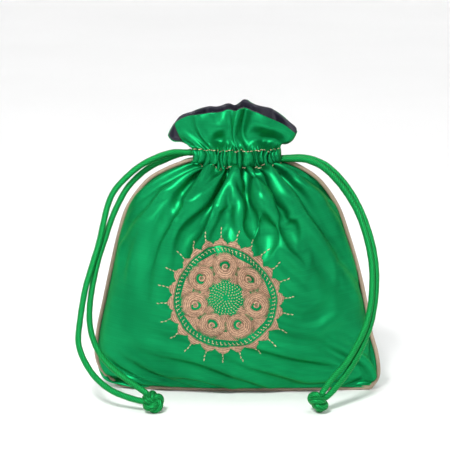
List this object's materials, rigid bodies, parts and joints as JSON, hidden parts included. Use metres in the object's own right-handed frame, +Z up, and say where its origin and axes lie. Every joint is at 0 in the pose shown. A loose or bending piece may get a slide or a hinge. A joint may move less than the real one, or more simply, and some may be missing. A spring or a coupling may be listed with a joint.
{
  "type": "drawstring gift pouch",
  "caption": "Small lined satin gift pouch, stuffed full and standing, with a ruffled drawstring mouth, corded seams, an embroidered sun medallion and knotted pull cords.",
  "frame": {"origin": "on the floor, at the middle of the flat base that the pouch stands on", "axes": "+Z up, -Y towards the embroidered front, +X to the right of someone facing the front"},
  "size_m": [0.1511, 0.0852, 0.1417],
  "materials": {
    "green_satin": "glossy woven satin",
    "dark_lining": "soft sheen lining cloth",
    "tan_piping": "matt woven cord cover",
    "gold_thread": "sewing thread",
    "rose_tan_thread": "silky embroidery thread",
    "green_cord": "satin rattail cord"
  },
  "bodies": {
    "sack": {"front_panel": "green_satin", "back_panel": "green_satin", "front_lining": "dark_lining", "back_lining": "dark_lining", "piping": "tan_piping", "sun_ring_embroidery": "rose_tan_thread", "chain_stitch_ring": "rose_tan_thread", "swirl_ring_embroidery": "rose_tan_thread", "centre_rosette_embroidery": "rose_tan_thread"},
    "mouth_front": {"front_channel": "green_satin", "front_channel_lining": "dark_lining", "front_channel_thread": "gold_thread", "front_ruffle": "green_satin", "front_ruffle_lining": "dark_lining", "left_cord_front_run": "green_cord", "right_cord_front_run": "green_cord"},
    "mouth_back": {"back_channel": "green_satin", "back_channel_lining": "dark_lining", "back_channel_thread": "gold_thread", "back_ruffle": "green_satin", "back_ruffle_lining": "dark_lining", "left_cord_back_run": "green_cord", "right_cord_back_run": "green_cord"},
    "left_pull": {"left_cord_front_strand": "green_cord", "left_cord_back_strand": "green_cord"},
    "right_pull": {"right_cord_front_strand": "green_cord", "right_cord_back_strand": "green_cord"},
    "left_knot_end": {"left_knot": "green_cord"},
    "right_knot_end": {"right_knot": "green_cord"}
  },
  "joints": [
    {"name": "mouth_front_open", "type": "slide", "parent": "sack", "child": "mouth_front", "axis": [0, -1, 0], "range_m": [0, 0.012]},
    {"name": "mouth_back_open", "type": "slide", "parent": "sack", "child": "mouth_back", "axis": [0, 1, 0], "range_m": [0, 0.012]},
    {"name": "left_pull_swing", "type": "hinge", "parent": "sack", "child": "left_pull", "pos_m": [-0.0223, 0, 0.1187], "axis": [0, 1, 0], "range_deg": [0, 30]},
    {"name": "right_pull_swing", "type": "hinge", "parent": "sack", "child": "right_pull", "pos_m": [0.0223, 0, 0.1154], "axis": [0, -1, 0], "range_deg": [0, 30]},
    {"name": "left_knot_draw", "type": "slide", "parent": "left_pull", "child": "left_knot_end", "axis": [0.1445, 0.3992, 0.9054], "range_m": [0, 0.0165], "deforming": ["left_cord_front_strand", "left_cord_back_strand"]},
    {"name": "right_knot_draw", "type": "slide", "parent": "right_pull", "child": "right_knot_end", "axis": [-0.1368, 0.4096, 0.9019], "range_m": [0, 0.0165], "deforming": ["right_cord_front_strand", "right_cord_back_strand"]}
  ],
  "couplings": [
    {"joint": "mouth_back_open", "follows": "mouth_front_open", "ratio": 1},
    {"joint": "left_knot_draw", "follows": "mouth_front_open", "ratio": 1.37},
    {"joint": "right_knot_draw", "follows": "mouth_front_open", "ratio": 1.37}
  ]
}
